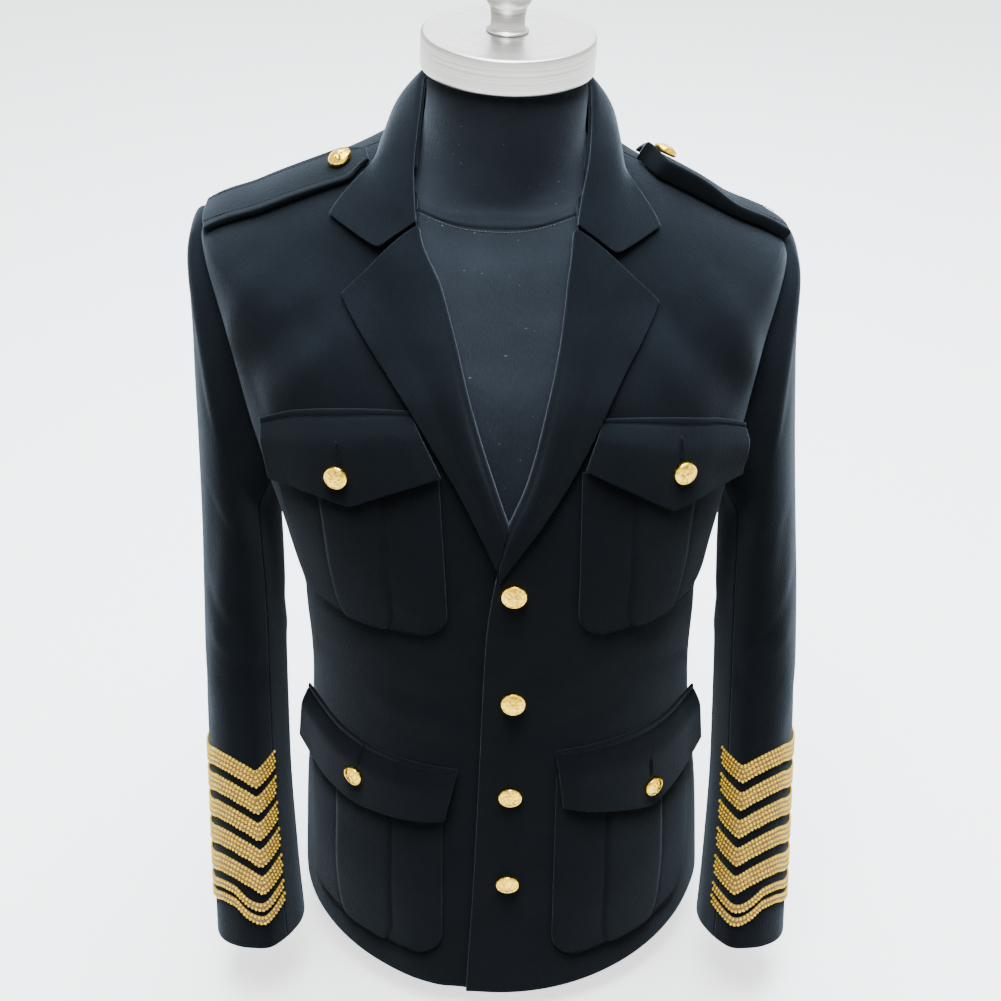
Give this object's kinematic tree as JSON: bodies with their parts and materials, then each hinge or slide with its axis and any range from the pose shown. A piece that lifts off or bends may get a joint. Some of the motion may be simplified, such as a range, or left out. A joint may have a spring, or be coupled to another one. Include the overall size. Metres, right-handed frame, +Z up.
{
  "type": "dress blazer on a limbless dress form",
  "caption": "Short black dress blazer with notched lapels, flapped patch pockets, shoulder straps and gold cuff braid, worn by a limbless black dress form with a brushed metal neck cap.",
  "frame": {"origin": "middle of the whole part's box, at the height of the dress form's flat base", "axes": "+Z up along the form, -Y out of the jacket's front, +X towards the wearer's left sleeve"},
  "size_m": [0.5085, 0.2944, 0.874],
  "materials": {
    "wool_cloth": "navy-black wool twill, matt with a soft nap",
    "form_jersey": "black stretch jersey",
    "brushed_cap": "circular brushed steel",
    "gilt_button": "polished gilt metal",
    "gold_braid": "looped gold metallic braid"
  },
  "bodies": {
    "root": {"back_left": "wool_cloth", "back_right": "wool_cloth", "breast_button_left": "gilt_button", "breast_button_right": "gilt_button", "breast_flap_left": "wool_cloth", "breast_flap_right": "wool_cloth", "breast_pocket_left": "wool_cloth", "breast_pocket_right": "wool_cloth", "chevron_left_1": "gold_braid", "chevron_left_2": "gold_braid", "chevron_left_3": "gold_braid", "chevron_left_4": "gold_braid", "chevron_left_5": "gold_braid", "chevron_left_6": "gold_braid", "chevron_right_1": "gold_braid", "chevron_right_2": "gold_braid", "chevron_right_3": "gold_braid", "chevron_right_4": "gold_braid", "chevron_right_5": "gold_braid", "chevron_right_6": "gold_braid", "collar_fall": "wool_cloth", "collar_stand": "wool_cloth", "epaulette_button_left": "gilt_button", "epaulette_button_right": "gilt_button", "epaulette_left": "wool_cloth", "epaulette_right": "wool_cloth", "finial": "brushed_cap", "form_body": "form_jersey", "front_button_1": "gilt_button", "front_button_2": "gilt_button", "front_button_3": "gilt_button", "front_button_4": "gilt_button", "front_left": "wool_cloth", "front_right": "wool_cloth", "lapel_left": "wool_cloth", "lapel_right": "wool_cloth", "lower_button_left": "gilt_button", "lower_button_right": "gilt_button", "lower_flap_left": "wool_cloth", "lower_flap_right": "wool_cloth", "lower_pocket_left": "wool_cloth", "lower_pocket_right": "wool_cloth", "neck_cap": "brushed_cap", "topsleeve_left": "wool_cloth", "topsleeve_right": "wool_cloth", "undersleeve_left": "wool_cloth", "undersleeve_right": "wool_cloth"}
  },
  "joints": []
}
